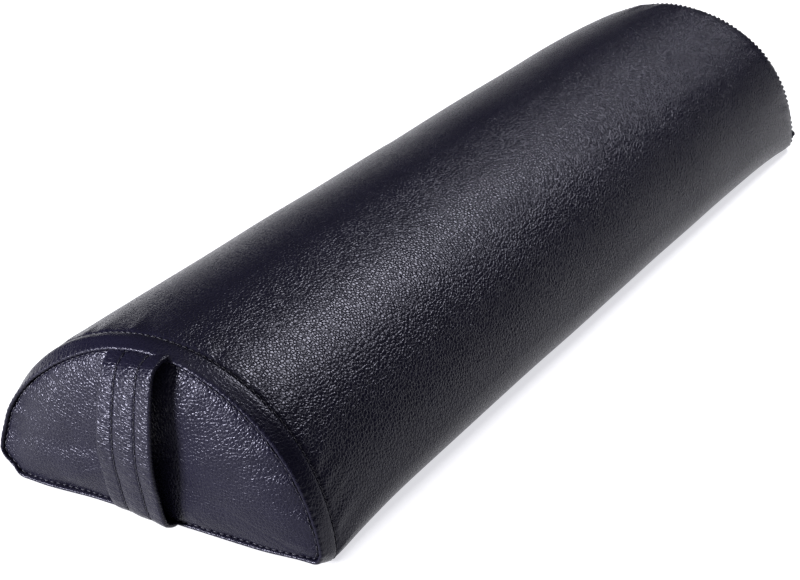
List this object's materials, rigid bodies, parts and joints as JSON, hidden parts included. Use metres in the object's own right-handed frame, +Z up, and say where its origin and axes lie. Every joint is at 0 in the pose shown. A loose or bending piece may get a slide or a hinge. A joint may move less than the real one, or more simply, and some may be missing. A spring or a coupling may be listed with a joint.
{
  "type": "half-round massage bolster",
  "caption": "Half-round foam bolster in a zipped leatherette cover, with topstitched end panels and a strap handle on one end.",
  "frame": {"origin": "centre of the flat underside", "axes": "+Z up out of the arch, -Y out of the end with the strap handle, +Y along the length, X across the width"},
  "size_m": [0.2035, 0.6791, 0.1017],
  "materials": {
    "leatherette": "dark navy-charcoal polyurethane leatherette, pebbled grain, satin",
    "foam": "open-cell polyurethane foam",
    "thread": "black bonded polyester sewing thread",
    "zipper_tape": "black woven polyester tape",
    "zipper_teeth": "black moulded acetal",
    "zipper_metal": "black lacquered zinc"
  },
  "bodies": {
    "cover": {"foam_core": "foam", "wrap_panel": "leatherette", "front_end_panel": "leatherette", "rear_end_panel": "leatherette", "strap_handle": "leatherette", "strap_thread_left": "thread", "strap_thread_right": "thread", "front_seam_thread": "thread", "rear_seam_thread": "thread", "front_topstitch_thread": "thread", "rear_topstitch_thread": "thread", "zipper_tape_left": "zipper_tape", "zipper_tape_right": "zipper_tape", "zipper_teeth_left": "zipper_teeth", "zipper_teeth_right": "zipper_teeth", "zipper_thread_left": "thread", "zipper_thread_right": "thread", "zipper_top_stops": "zipper_teeth", "zipper_bottom_stop": "zipper_teeth"},
    "zipper_slider": {"zipper_slider_body": "zipper_metal"},
    "pull_tab": {"zipper_pull_tab": "zipper_metal"}
  },
  "joints": [
    {"name": "zipper_slide", "type": "slide", "parent": "cover", "child": "zipper_slider", "axis": [0, -1, 0], "range_m": [0, 0.5625], "deforming": ["zipper_teeth_left", "zipper_teeth_right"]},
    {"name": "tab_swing", "type": "hinge", "parent": "zipper_slider", "child": "pull_tab", "pos_m": [-0.055, 0.287, 0.0027], "axis": [1, 0, 0], "range_deg": [0, 170]}
  ]
}
